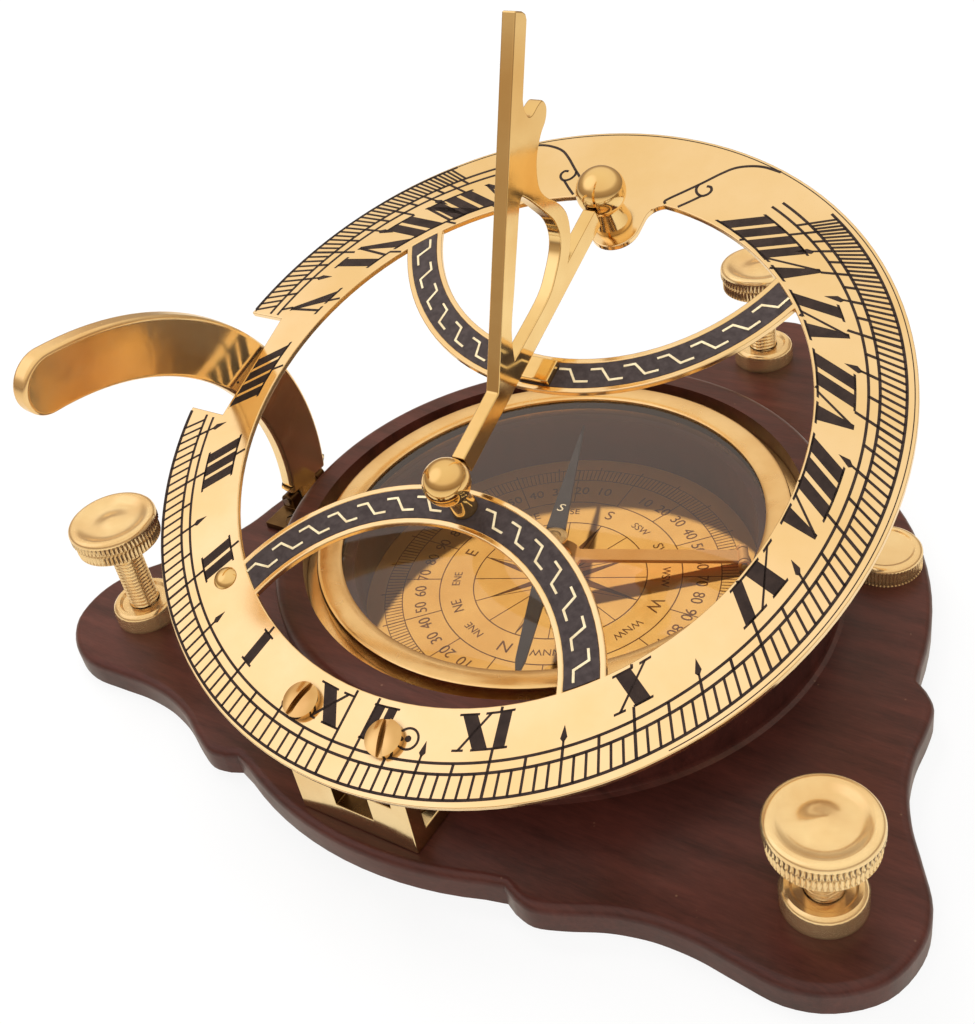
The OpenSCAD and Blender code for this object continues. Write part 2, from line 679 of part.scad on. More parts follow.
module ball_post(r, stem, foot, neck, side) {
    difference() {
        union() {
            translate([0, 0, ball_n]) sphere(r = r, $fn = fine);
            rotate_extrude($fn = fine) polygon([
                [0, -ring_t - 0.3], [stem, -ring_t - 0.3], [stem, 0], [foot, 0], [foot, 0.3],
                [neck, ball_n - r + 0.9], [0, ball_n - r + 0.9]]);
        }
        translate([0, side > 0 ? 0.4 : -0.4 - 2 * r, fold_n]) rotate([-90, 0, 0])
            cylinder(r = pivot_r + run_fit, h = 2 * r, $fn = fine);
    }
}

module near_ball_post() {
    color(bright_brass) on_ring() translate([0, -near_post_v, 0])
        ball_post(ball_r, post_hole_near, 2.2, 1.7, 1);
}

module far_ball_post() {
    color(bright_brass) on_ring() translate([0, far_post_v, 0])
        ball_post(far_ball_r, post_hole_far, 3.3, 2.4, -1);
}

// Small square block on the far bridge, under the gnomon
module style_rest_block() {
    block = [5.6, 4.2, 1.2];
    color(bright_brass) on_ring()
        translate([lug_u - block[0] / 2, far_bridge_v - far_bridge_r - block[1] / 2, -channel_depth])
        cube([block[0], block[1], block[2] + channel_depth]);
}

// Gnomon plate in its own plane: v along the ring's slope, n off the ring
bar_high = fold_n + 1.4;
bar_low = bar_high - foot_bar_h;
bar_start_v = -near_post_v + ball_r + gap;
bar_end_v = far_post_v - far_ball_r - gap;
style_foot = [0.4, bar_high - 0.6];
style_dir = [cos(style_angle), sin(style_angle)];
style_tip = style_foot + style_len * style_dir;
style_in = style_w * [sin(style_angle), -cos(style_angle)];

// Outer edge of the brace from the foot bar up to the style, with its thumb
brace_outer = spline([[27.0, bar_high - 0.4], [29.9, 10.0], [31.6, 13.8], [31.0, 17.4], [28.8, 21.6],
    [28.5, 24.4], [30.4, 27.7], [33.3, 29.7], [35.7, 30.5], [37.0, 31.9], [36.7, 33.5], [35.3, 33.9],
    [33.4, 33.9], [32.4, 34.6], [32.3, 36.4]], 4);
// Opening between the foot bar, the style and the brace
gnomon_window = spline([[7.3, bar_high + 0.2], [9.7, 12.6], [14.2, 17.1], [19.4, 22.4], [23.4, 26.2],
    [24.8, 25.4], [27.1, 19.9], [28.3, 16.4], [28.1, 13.4], [26.6, 11.2], [23.7, 9.4],
    [20.0, bar_high + 0.05], [13.2, bar_high], [7.3, bar_high + 0.2]], 4);

module gnomon() {
    color(bright_brass) on_ring() {
        rotate([90, 0, 90]) translate([0, 0, -gnomon_t / 2]) linear_extrude(gnomon_t) difference() {
            union() {
                polygon([style_foot, style_tip, style_tip + 0.6 * style_in,
                    style_tip - 0.3 * style_dir + 0.88 * style_in,
                    style_tip - 1.1 * style_dir + style_in, style_foot + style_in]);
                polygon(concat([style_foot, [style_foot[0] + 1, bar_low + 0.5]], brace_outer,
                    [style_foot + 45 * style_dir + 0.9 * style_in, style_foot + 45 * style_dir]));
                translate([bar_start_v, bar_low])
                    square([bar_end_v - bar_start_v, foot_bar_h]);
            }
            polygon(gnomon_window);
        }
        translate([0, bar_start_v + 0.5, fold_n]) rotate([90, 0, 0])
            cylinder(r = pivot_r, h = pivot_depth + 0.5, $fn = fine);
        translate([0, bar_end_v - 0.5, fold_n]) rotate([-90, 0, 0])
            cylinder(r = pivot_r, h = pivot_depth + 0.5, $fn = fine);
    }
}

// Latitude arc: a flat quarter ring that leans in through the ring's notch, on a knuckle at its foot
module latitude_arc() {
    knuckle_low = arc_knuckle_y - arc_knuckle_w / 2;
    color(bright_brass) on_arc() difference() {
        union() {
            rotate([90, 0, 90]) translate([0, 0, -arc_t / 2]) linear_extrude(arc_t) {
                translate([arc_centre_y, arc_centre_s]) intersection() {
                    difference() {
                        circle(r = arc_mid_r + arc_w / 2, $fn = 180);
                        circle(r = arc_mid_r - arc_w / 2, $fn = 180);
                    }
                    polygon([[0, 0], arc_cut * [1, tan(arc_start)], [arc_cut, arc_cut],
                        arc_cut * [cos(arc_span), sin(arc_span)]]);
                }
                translate([arc_centre_y + arc_mid_r * cos(arc_span),
                    arc_centre_s + arc_mid_r * sin(arc_span)]) circle(r = arc_w / 2, $fn = 64);
                translate([arc_centre_y + arc_mid_r - arc_w / 2, arc_knuckle_r + gap])
                    square([arc_w, arc_root]);
                translate([knuckle_low, 0]) square([arc_knuckle_w, 8]);
            }
            translate([0, knuckle_low, 0]) rotate([-90, 0, 0])
                cylinder(r = arc_knuckle_r, h = arc_knuckle_w, $fn = fine);
        }
        translate([0, -20, 0]) rotate([-90, 0, 0])
            cylinder(r = arc_pin_r + run_fit, h = 50, $fn = fine);
    }
}

// The straight root runs from the knuckle up to where the quarter ring starts
arc_cut = 1.5 * (arc_mid_r + arc_w);
arc_start = 1.5;
arc_root = arc_centre_s + arc_mid_r * sin(arc_start) - arc_knuckle_r - gap + 0.4;
arc_foot_t = 1.2;
arc_foot_out = 1.8;
arc_foot_in = 7;
arc_foot_tail = 5.6;
arc_screw_r = 1.2;

// Foot of the arc: a flange on the base with two knuckles
module arc_foot() {
    low = arc_knuckle_y - arc_foot_w / 2;
    ear = (arc_foot_w - arc_knuckle_w) / 2 - knuckle_gap;
    color(brass) translate([-arc_axis_x, 0, base_top]) difference() {
        union() {
            translate([-arc_foot_out, low - arc_foot_tail, 0])
                cube([arc_foot_out + arc_foot_in, arc_foot_w + arc_foot_tail, arc_foot_t]);
            for (y = [low, low + arc_foot_w - ear]) {
                translate([-arc_knuckle_r, y, 0]) cube([2 * arc_knuckle_r, ear, arc_axis_h]);
                translate([0, y, arc_axis_h]) rotate([-90, 0, 0])
                    cylinder(r = arc_knuckle_r, h = ear, $fn = fine);
            }
        }
        translate([0, -30, arc_axis_h]) rotate([-90, 0, 0])
            cylinder(r = arc_pin_r + run_fit, h = 60, $fn = fine);
        translate([arc_foot_in - 3, low - arc_foot_tail + 3, -1])
            cylinder(r = arc_screw_r + run_fit, h = 5, $fn = fine);
    }
}

module arc_foot_screw() {
    low = arc_knuckle_y - arc_foot_w / 2;
    color(brass) translate([-arc_axis_x + arc_foot_in - 3, low - arc_foot_tail + 3, base_top + arc_foot_t])
        rotate([0, 0, 20]) domed_screw(2.2, arc_screw_r, arc_foot_t, 0.6);
}

module arc_pin() {
    low = arc_knuckle_y - arc_foot_w / 2;
    color("silver") translate([-arc_axis_x, low - 0.4, arc_axis_z]) rotate([-90, 0, 0])
        cylinder(r = arc_pin_r, h = arc_foot_w + 0.8, $fn = fine);
}

base_plate();
levelling_bush_left();
levelling_bush_right();
levelling_bush_rear();
levelling_screw_left();
levelling_screw_right();
levelling_screw_rear();
compass_case();
compass_bezel();
compass_glass();
glass_retaining_ring();
compass_dial();
needle_pivot();
compass_needle();
needle_cap();
arrest_lever();
lever_bracket();
lever_pin();
arrest_knob();
hinge_bracket();
bracket_screws();
hinge_pin();
ring_hinge_leaf();
leaf_screws();
hour_ring();
ring_rivet();
near_ball_post();
far_ball_post();
style_rest_block();
gnomon();
latitude_arc();
arc_foot();
arc_foot_screw();
arc_pin();
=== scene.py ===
"""Looks of a folding sundial over a compass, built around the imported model. Metres, +Z up."""
import json
import math

import bmesh
import bpy
from mathutils import Matrix, Quaternion, Vector

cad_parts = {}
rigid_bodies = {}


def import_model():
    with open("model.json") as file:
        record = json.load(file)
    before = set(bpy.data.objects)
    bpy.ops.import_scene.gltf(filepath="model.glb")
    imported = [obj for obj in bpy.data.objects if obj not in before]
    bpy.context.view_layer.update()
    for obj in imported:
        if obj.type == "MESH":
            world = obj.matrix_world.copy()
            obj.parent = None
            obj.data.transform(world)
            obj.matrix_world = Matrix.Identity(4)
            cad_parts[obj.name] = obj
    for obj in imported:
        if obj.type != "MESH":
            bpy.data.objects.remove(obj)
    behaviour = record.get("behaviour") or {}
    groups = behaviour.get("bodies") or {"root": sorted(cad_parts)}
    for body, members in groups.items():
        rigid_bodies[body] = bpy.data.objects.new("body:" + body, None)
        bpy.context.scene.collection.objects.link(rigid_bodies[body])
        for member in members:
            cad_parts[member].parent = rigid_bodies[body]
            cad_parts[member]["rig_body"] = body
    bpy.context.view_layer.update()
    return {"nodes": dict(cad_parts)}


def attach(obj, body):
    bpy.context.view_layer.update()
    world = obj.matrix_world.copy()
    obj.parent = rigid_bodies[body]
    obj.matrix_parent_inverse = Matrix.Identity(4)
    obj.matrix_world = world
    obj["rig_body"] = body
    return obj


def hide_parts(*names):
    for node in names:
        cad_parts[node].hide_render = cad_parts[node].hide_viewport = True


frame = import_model()
NODES = frame["nodes"]
MM = 0.001

# Measures of the part, mm
HINGE_Y, HINGE_Z, RING_TILT = -58.75, 17.7, math.radians(22)
RING_HINGE_V, RING_LIFT = 58.0, 5.9
BORE_R = 47.8
BASE_T = 5.0
NOTCH_FLOOR_U, NOTCH_NEAR, NOTCH_FAR = -54.2, -10.15, 11.55
# A bridge: its centre along the ring, middle radius and width
NEAR_BRIDGE = (-48.4, 32.75, 7.1)
FAR_BRIDGE = (48.3, 37.4, 6.6)
BRIDGE_RIM, CHANNEL = 0.95, 0.3
# The window in the hinge bracket: its sides, the plate's faces, and the heights around it
WINDOW_X, WINDOW_Y, WINDOW_Z = (-5, 3), (-60.2, -57.4), (9, 18)
DIAL_TOP, NEEDLE_TOP = 7.0, 16.2
NEEDLE_DIR = math.radians(-70)
SCREWS = {  # body: (direction in degrees, reach, tip height)
    "screw_left": (-152.9, 78.3, 5.7),
    "screw_right": (-32.9, 78.3, 0.3),
    "screw_rear": (87.1, 81.0, 5.6),
}
SCREW_LEN, HEAD_R, HEAD_H, SHANK_R = 22.2, 8.0, 5.4, 2.8
TEETH, THREAD = 64, 0.75  # knurl teeth around a head, and the pitch of the thread
KNOB_DIR, KNOB_REACH, KNOB_R = math.radians(28), 56.3, 6.3

RING = (Matrix.Translation((0, HINGE_Y, HINGE_Z)) @ Matrix.Rotation(RING_TILT, 4, "X")
        @ Matrix.Translation((0, RING_HINGE_V, RING_LIFT)))
SHARP = math.radians(32)  # edges sharper than this stay sharp, or get a small bevel
TURNED_SHARP = math.radians(50)


# Node helpers
def material(name):
    """A new material with only an output, its tree and that output."""
    m = bpy.data.materials.new(name)
    m.use_nodes = True
    tree = m.node_tree
    tree.nodes.clear()
    out = tree.nodes.new("ShaderNodeOutputMaterial")
    return m, tree, out


def node(tree, kind, inputs=(), **props):
    """A node: a socket among the inputs is linked, and a value is set."""
    n = tree.nodes.new(kind)
    for key, value in props.items():
        setattr(n, key, value)
    for key, value in dict(inputs).items():
        socket = n.inputs[key]
        if isinstance(value, bpy.types.NodeSocket):
            tree.links.new(value, socket)
        else:
            socket.default_value = value
    return n


def coords(tree, stretch=(1, 1, 1), turn=(0, 0, 0)):
    c = node(tree, "ShaderNodeTexCoord")
    return node(tree, "ShaderNodeMapping", {"Vector": c.outputs["Object"], "Scale": stretch,
                                            "Rotation": turn}).outputs["Vector"]


def noise(tree, vector, scale, detail=3.0, rough=0.5):
    return node(tree, "ShaderNodeTexNoise", {"Vector": vector, "Scale": scale, "Detail": detail,
                                             "Roughness": rough}).outputs["Fac"]


def ramp(tree, value, stops):
    r = node(tree, "ShaderNodeValToRGB", {"Fac": value})
    e = r.color_ramp.elements
    while len(e) < len(stops):
        e.new(0.5)
    for el, (pos, col) in zip(e, stops):
        el.position = pos
        el.color = (*col, 1) if len(col) == 3 else col
    return r.outputs["Color"]


def grey(v):
    return (v, v, v)


def span(tree, value, low, high, to_low, to_high):
    return node(tree, "ShaderNodeMapRange", {"Value": value, "From Min": low, "From Max": high,
                                             "To Min": to_low, "To Max": to_high}).outputs["Result"]


# Painted shade: the colour that creases, slots and hollows take where ambient occlusion finds them
# hidden
CREASE_SHADE = (0.10, 0.045, 0.015, 1)


def brass(name, tone, deep, rough=(0.08, 0.16), haze=55.0, bump=0.02, crease=0.0012, metal=1.0):
    """Polished brass: cloudy lacquer, faint rub marks, small dents, and painted shade darkening the
    creases.
    """
    m, t, out = material(name)
    base = coords(t)
    cloud = noise(t, base, haze, 4, 0.55)
    colour = ramp(t, cloud, [(0.3, deep), (0.62, tone)])
    rub = noise(t, base, 1400, 3, 0.6)
    roughness = span(t, noise(t, base, haze * 2.4, 3, 0.6), 0.3, 0.72, *rough)
    dents = node(t, "ShaderNodeBump", {"Height": noise(t, base, 210, 2, 0.4), "Strength": bump,
                                       "Distance": 0.0006}).outputs["Normal"]
    marks = node(t, "ShaderNodeBump", {"Height": rub, "Strength": bump * 0.6, "Distance": 0.0001,
                                       "Normal": dents}).outputs["Normal"]
    # Painted shade: ambient occlusion darkens the colour in creases, slots and hollows, where shade
    # falls
    occlusion = node(t, "ShaderNodeAmbientOcclusion", {"Distance": crease}, samples=6)
    unshaded = span(t, occlusion.outputs["AO"], 0.25, 0.75, 0.0, 1.0)
    # Mix sockets repeat their names for each data type, so the colour ones are set by index
    colour = node(t, "ShaderNodeMix", {0: unshaded, 6: CREASE_SHADE, 7: colour},
                  data_type="RGBA").outputs[2]
    b = node(t, "ShaderNodeBsdfPrincipled", {"Base Color": colour, "Metallic": metal,
                                             "Roughness": roughness, "Normal": marks})
    t.links.new(b.outputs[0], out.inputs["Surface"])
    return m


def painted(name, colour, dark, rough=0.4, spec=0.3, scale=400.0, bump=0.05):
    """Ink, enamel or print: a mottled dark film."""
    m, t, out = material(name)
    v = coords(t)
    n = noise(t, v, scale, 3, 0.6)
    b = node(t, "ShaderNodeBsdfPrincipled", {
        "Base Color": ramp(t, n, [(0.3, dark), (0.7, colour)]), "Roughness": rough,
        "Specular IOR Level": spec,
        "Normal": node(t, "ShaderNodeBump", {"Height": n, "Strength": bump,
                                             "Distance": 0.0001}).outputs["Normal"]})
    t.links.new(b.outputs[0], out.inputs["Surface"])
    return m


def wood(name, tone, dark, flecks):
    """Dark stained wood under a satin lacquer, with fine grain, pores and pale flecks."""
    m, t, out = material(name)
    v = coords(t)
    fibre = coords(t, (1, 7, 3), (0, 0, 0.5))
    broad = noise(t, fibre, 45, 4, 0.6)
    fine = noise(t, fibre, 420, 4, 0.7)
    mixed = node(t, "ShaderNodeMix", {0: 0.35, 2: broad, 3: fine}, data_type="FLOAT").outputs[0]
    grain = ramp(t, mixed, [(0.36, dark), (0.64, tone)])
    spot = ramp(t, node(t, "ShaderNodeTexVoronoi", {"Vector": v, "Scale": 430.0,
                                                    "Randomness": 1.0}).outputs["Distance"],
                [(0.045, grey(1.0)), (0.1, grey(0.0))])
    pick = ramp(t, noise(t, v, 190, 1, 0.5), [(0.6, grey(0.0)), (0.66, grey(1.0))])
    mask = node(t, "ShaderNodeMath", {0: spot, 1: pick}, operation="MULTIPLY").outputs[0]
    share = node(t, "ShaderNodeMath", {0: mask, 1: 0.4}, operation="MULTIPLY").outputs[0]
    colour = node(t, "ShaderNodeMix", {0: share, 6: grain, 7: (*flecks, 1)}, data_type="RGBA")
    rough = span(t, noise(t, v, 120, 4, 0.6), 0.3, 0.7, 0.3, 0.46)
    bump = node(t, "ShaderNodeBump", {"Height": fine, "Strength": 0.12, "Distance": 0.0002})
    wave = node(t, "ShaderNodeBump", {"Height": noise(t, v, 70, 2, 0.5), "Strength": 0.08,
                                      "Distance": 0.001, "Normal": bump.outputs["Normal"]})
    b = node(t, "ShaderNodeBsdfPrincipled", {
        "Base Color": colour.outputs[2], "Roughness": rough, "Specular IOR Level": 0.3,
        "Coat Weight": 0.12, "Coat Roughness": 0.25, "Normal": wave.outputs["Normal"]})
    t.links.new(b.outputs[0], out.inputs["Surface"])
    return m


GLASS_MIRROR = 1.8  # how many times the mirror share of plain glass


def glass(name):
    """Flat glass, a little smoky: it mirrors the room at its front face more than plain glass."""
    m, t, out = material(name)
    v = coords(t)
    clear = node(t, "ShaderNodeBsdfTransparent", {"Color": (0.9, 0.895, 0.89, 1)})
    gloss = node(t, "ShaderNodeBsdfGlossy", {
        "Color": (0.86, 0.82, 0.86, 1),
        "Roughness": span(t, noise(t, v, 60, 3, 0.5), 0.3, 0.7, 0.02, 0.05)})
    fresnel = node(t, "ShaderNodeFresnel", {"IOR": 1.5})
    behind = node(t, "ShaderNodeNewGeometry").outputs["Backfacing"]
    front = node(t, "ShaderNodeMath", {0: 1.0, 1: behind}, operation="SUBTRACT")
    share = node(t, "ShaderNodeMath", {0: fresnel.outputs[0], 1: front.outputs[0]},
                 operation="MULTIPLY")
    share = node(t, "ShaderNodeMath", {0: share.outputs[0], 1: GLASS_MIRROR},
                 operation="MULTIPLY", use_clamp=True)
    mix = node(t, "ShaderNodeMixShader", {0: share.outputs[0], 1: clear.outputs[0],
                                          2: gloss.outputs[0]})
    t.links.new(mix.outputs[0], out.inputs["Surface"])
    return m


def steel(name, tone, rough):
    """Drawn steel with fine lines along it."""
    m, t, out = material(name)
    v = coords(t, (1, 1, 14))
    n = noise(t, v, 600, 3, 0.6)
    b = node(t, "ShaderNodeBsdfPrincipled", {
        "Base Color": ramp(t, n, [(0.3, tuple(c * 0.8 for c in tone)), (0.7, tone)]),
        "Metallic": 1.0, "Roughness": span(t, n, 0.3, 0.7, rough, rough + 0.12)})
    t.links.new(b.outputs[0], out.inputs["Surface"])
    return m


RING_BRASS = brass("ring_brass", (0.99, 0.765, 0.45), (0.93, 0.68, 0.34), (0.10, 0.2))
PART_BRASS = brass("part_brass", (0.96, 0.72, 0.34), (0.84, 0.56, 0.22), (0.07, 0.16), bump=0.03)
CAST_BRASS = brass("turned_brass", (0.97, 0.75, 0.41), (0.85, 0.58, 0.27), (0.12, 0.24), 80,
                   bump=0.05, metal=0.85)
BEZEL_BRASS = brass("bezel_brass", (0.96, 0.70, 0.36), (0.86, 0.56, 0.24), (0.18, 0.3), 90, bump=0.06)
WOOD = wood("stained_wood", (0.085, 0.022, 0.016), (0.035, 0.009, 0.007), (0.30, 0.17, 0.10))
INK = painted("engraved_ink", (0.035, 0.022, 0.018), (0.016, 0.010, 0.009), 0.5, 0.2)
ENAMEL = painted("bridge_enamel", (0.060, 0.046, 0.046), (0.030, 0.022, 0.023), 0.45, 0.25, 900)
CREAM = painted("cream_inlay", (0.90, 0.78, 0.52), (0.70, 0.56, 0.33), 0.45, 0.3, 500)
DIAL = painted("dial_face", (0.80, 0.46, 0.13), (0.66, 0.34, 0.08), 0.5, 0.25, 70, 0.02)
DIAL_INK = painted("dial_print", (0.18, 0.07, 0.025), (0.09, 0.035, 0.014), 0.6, 0.1)
NEEDLE = painted("needle_blue", (0.026, 0.025, 0.028), (0.014, 0.014, 0.016), 0.4, 0.35, 300)
LEVER = brass("lever_brass", (0.93, 0.50, 0.17), (0.85, 0.42, 0.12), (0.3, 0.4), 120, metal=0.5)
BRACKET_BRASS = brass("bracket_brass", (0.96, 0.76, 0.42), (0.84, 0.58, 0.26), (0.07, 0.16),
                      bump=0.03, crease=0.014)
ARC_BRASS = brass("arc_brass", (1.0, 0.76, 0.4), (0.86, 0.54, 0.22), (0.1, 0.2), 40,
                  bump=0.08, metal=0.9)
SCREW_BRASS = brass("screw_brass", (0.90, 0.62, 0.28), (0.66, 0.38, 0.14), (0.1, 0.2), 80,
                    bump=0.05, crease=0.002)
FOOT_BRASS = brass("foot_brass", (0.22, 0.13, 0.05), (0.10, 0.055, 0.022), (0.25, 0.4), 150)
STEEL = steel("pin_steel", (0.62, 0.60, 0.57), 0.25)
GLASS = glass("clear_glass")


# Mesh helpers
def add(name, verts, faces, mat, body, place):
    """An object from points in mm, in the frame that place gives."""
    mesh = bpy.data.meshes.new(name)
    mesh.from_pydata([tuple((place @ Vector(v)) * MM) for v in verts], [], faces)
    mesh.materials.append(mat)
    mesh.validate()
    obj = bpy.data.objects.new(name, mesh)
    bpy.context.scene.collection.objects.link(obj)
    bm = bmesh.new()
    bm.from_mesh(obj.data)
    bmesh.ops.recalc_face_normals(bm, faces=bm.faces)
    bm.to_mesh(obj.data)
    bm.free()
    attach(obj, body)
    return obj


NODE_BODY = {n: o["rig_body"] for n, o in NODES.items()}


def refill_flats(bm, levels):
    """Fills flat faces afresh, because the triangles of the large ones fold over themselves."""
    for z in levels:
        flat = [f for f in bm.faces if abs(f.normal.z) > 0.9999
                and all(abs(v.co.z - z) < 1e-6 for v in f.verts)]
        bmesh.ops.delete(bm, geom=flat, context="FACES")
        bmesh.ops.triangle_fill(bm, use_beauty=True, edges=[e for e in bm.edges if e.is_boundary],
                                normal=(0, 0, 1))
    bmesh.ops.recalc_face_normals(bm, faces=bm.faces)


def dress(name, mat, bevel):
    """A copy of a CAD node with joined points, smooth shading and softly broken edges."""
    mesh = NODES[name].data.copy()
    mesh.name = name + "_finish"
    obj = bpy.data.objects.new(name + "_finish", mesh)
    bpy.context.scene.collection.objects.link(obj)
    bm = bmesh.new()
    bm.from_mesh(mesh)
    bmesh.ops.remove_doubles(bm, verts=bm.verts, dist=2e-7)
    if name == "base_plate":
        refill_flats(bm, (0.0, BASE_T * MM))
    if bevel:
        bmesh.ops.dissolve_limit(bm, angle_limit=math.radians(0.6), verts=bm.verts, edges=bm.edges)
    bm.to_mesh(mesh)
    bm.free()
    if mesh.has_custom_normals:
        mesh.attributes.remove(mesh.attributes["custom_normal"])
    mesh.materials.clear()
    mesh.materials.append(mat)
    for p in mesh.polygons:
        p.material_index = 0
        p.use_smooth = True
    if bevel:
        b = obj.modifiers.new("edges", "BEVEL")
        b.width = bevel * MM
        b.segments = 4 if bevel > 0.5 else 2
        b.limit_method = "ANGLE"
        b.angle_limit = SHARP
        b.use_clamp_overlap = False
        b.harden_normals = True
    else:
        mesh.set_sharp_from_angle(angle=SHARP)
        even = obj.modifiers.new("flat_faces_first", "WEIGHTED_NORMAL")
        even.keep_sharp = True
    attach(obj, NODE_BODY[name])
    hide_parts(name)


def lathe(name, profile, body, place, relief, replaced):
    """A turned brass piece: profile of (radius, height), and its relief(radius, height, turn)."""
    verts, faces = [], []
    around_it = TEETH * 6
    for r, z in profile:
        for k in range(around_it):
            a = 2 * math.pi * k / around_it
            rr = relief(r, z, a)
            verts.append((rr * math.cos(a), rr * math.sin(a), z))
    for i in range(len(profile) - 1):
        for k in range(around_it):
            n = (k + 1) % around_it
            faces.append((i * around_it + k, i * around_it + n, (i + 1) * around_it + n,
                          (i + 1) * around_it + k))
    obj = add(name, verts, faces, CAST_BRASS, body, place)
    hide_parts(replaced)
    bm = bmesh.new()
    bm.from_mesh(obj.data)
    bmesh.ops.remove_doubles(bm, verts=bm.verts, dist=1e-8)
    bm.to_mesh(obj.data)
    bm.free()
    for p in obj.data.polygons:
        p.use_smooth = True
    obj.data.set_sharp_from_angle(angle=TURNED_SHARP)


class Inlay:
    """Flat marks between two heights, collected into one mesh."""

    def __init__(self, low, high):
        self.low, self.high, self.verts, self.faces = low, high, [], []

    def poly(self, pts):
        """A flat shape with this outline."""
        n, s = len(pts), len(self.verts)
        self.verts += [(x, y, self.low) for x, y in pts] + [(x, y, self.high) for x, y in pts]
        self.faces.append(tuple(range(s + n - 1, s - 1, -1)))
        self.faces.append(tuple(range(s + n, s + 2 * n)))
        for i in range(n):
            j = (i + 1) % n
            self.faces.append((s + i, s + j, s + n + j, s + n + i))

    def line(self, pts, width):
        """A ribbon with mitred corners along the points."""
        pts = [Vector(p) for p in pts]
        left, right = [], []
        for i, p in enumerate(pts):
            a = (p - pts[i - 1]).normalized() if i else None
            b = (pts[i + 1] - p).normalized() if i + 1 < len(pts) else None
            t = (a or b) if a is None or b is None else (a + b).normalized()
            nrm = Vector((-t.y, t.x))
            half = width / 2 / max(0.45, abs(nrm.dot(Vector((-(a or b).y, (a or b).x)))))
            left.append(p + nrm * half)
            right.append(p - nrm * half)
        s, n = len(self.verts), len(pts)
        for h in (self.low, self.high):
            self.verts += [(q.x, q.y, h) for q in left] + [(q.x, q.y, h) for q in right]
        lo_l, lo_r, hi_l, hi_r = s, s + n, s + 2 * n, s + 3 * n
        for i in range(n - 1):
            self.faces += [(hi_l + i, hi_r + i, hi_r + i + 1, hi_l + i + 1),
                           (lo_l + i + 1, lo_r + i + 1, lo_r + i, lo_l + i),
                           (lo_l + i, lo_l + i + 1, hi_l + i + 1, hi_l + i),
                           (lo_r + i + 1, lo_r + i, hi_r + i, hi_r + i + 1)]
        self.faces += [(lo_l, hi_l, hi_r, lo_r),
                       (lo_r + n - 1, hi_r + n - 1, hi_l + n - 1, lo_l + n - 1)]

    def mesh(self, verts, faces, place):
        """Another flat mesh, laid in by a 2-D placing function."""
        s = len(self.verts)
        self.verts += [place(v) for v in verts]
        self.faces += [tuple(s + i for i in f) for f in faces]

    def build(self, name, mat, body, place):
        add(name, self.verts, self.faces, mat, body, place)


def polar(r, a):
    """A point at radius r, a degrees from the XII side towards +X."""
    return (r * math.sin(math.radians(a)), -r * math.cos(math.radians(a)))


PRINT_T = 0.03  # thickness of print on the dial and the needle


def letter_mesh(text, size):
    """Points and faces of letters centred on the origin."""
    curve = bpy.data.curves.new("letters", "FONT")
    curve.body, curve.size, curve.extrude = text, size, PRINT_T / 2
    curve.align_x, curve.align_y = "CENTER", "CENTER"
    obj = bpy.data.objects.new("letters", curve)
    bpy.context.scene.collection.objects.link(obj)
    mesh = bpy.data.meshes.new_from_object(obj.evaluated_get(bpy.context.evaluated_depsgraph_get()))
    verts = [tuple(v.co) for v in mesh.vertices]
    faces = [tuple(p.vertices) for p in mesh.polygons]
    bpy.data.objects.remove(obj)
    bpy.data.curves.remove(curve)
    bpy.data.meshes.remove(mesh)
    return verts, faces


# Hour scale
RIM_LINE, LINE_OUT, LINE_MID, LINE_IN = 61.95, 61.55, 57.85, 56.25
NUM_LOW, NUM_HIGH = 54.55, 48.9  # where the numerals' feet and tops lie
STYLE_V, NOON = 36.0, 2.35  # the middle of the hour lines, and half its gap at noon
HOURS = 8
ART = (-0.7, -0.05)  # the scale is cut a little off the ring's centre
LAST_CELLS = {-1: 4, 1: 3}  # cells past the last numeral, left and right
LINE_W, INNER_W, HOUR_W, HOUR_TICK, CELL_TICK = 0.44, 0.42, 0.4, 0.46, 0.38
HALF_TICK, HALF_W = 55.2, 0.32  # the line to a half hour's arrow head
ARROW_FOOT, ARROW_WIDE, ARROW_TIP, ARROW_HALF = 55.6, 54.9, 53.1, 0.5
MARK_R, MARK_DOT, MARK_W = 1.6, 0.5, 0.36


def hour_phi(side, h):
    """Degrees of the hour line h hours from XII."""
    if side > 0:
        return 13.3 * h
    return 13.36 * h - 0.42 * max(0.0, 1.0 - h)


def on_hour(side, phi, r, shift=0.0, centre=ART):
    """Where the hour line at angle phi meets the circle of radius r; shift is across the line, mm."""
    ox, oy = side * NOON - centre[0], STYLE_V - centre[1]
    p = math.radians(phi)
    for _ in range(3):
        b = oy * math.cos(p) - ox * math.sin(p)
        d = b + math.sqrt(b * b - (oy ** 2 + ox * ox - r * r))
        p = math.radians(phi) + shift / d
    return centre[0] + ox + d * math.sin(p), centre[1] + oy - d * math.cos(p)


def in_notch(x, y, more=0.0):
    return x < NOTCH_FLOOR_U + more and NOTCH_NEAR - more < y < NOTCH_FAR + more


def clear_line(inlay, pts, width):
    """A line that stops at the notch."""
    run = []
    for p in pts + [None]:
        if p is None or in_notch(p[0], p[1], 0.25):
            if len(run) > 1:
                inlay.line(run, width)
            run = []
        else:
            run.append(p)


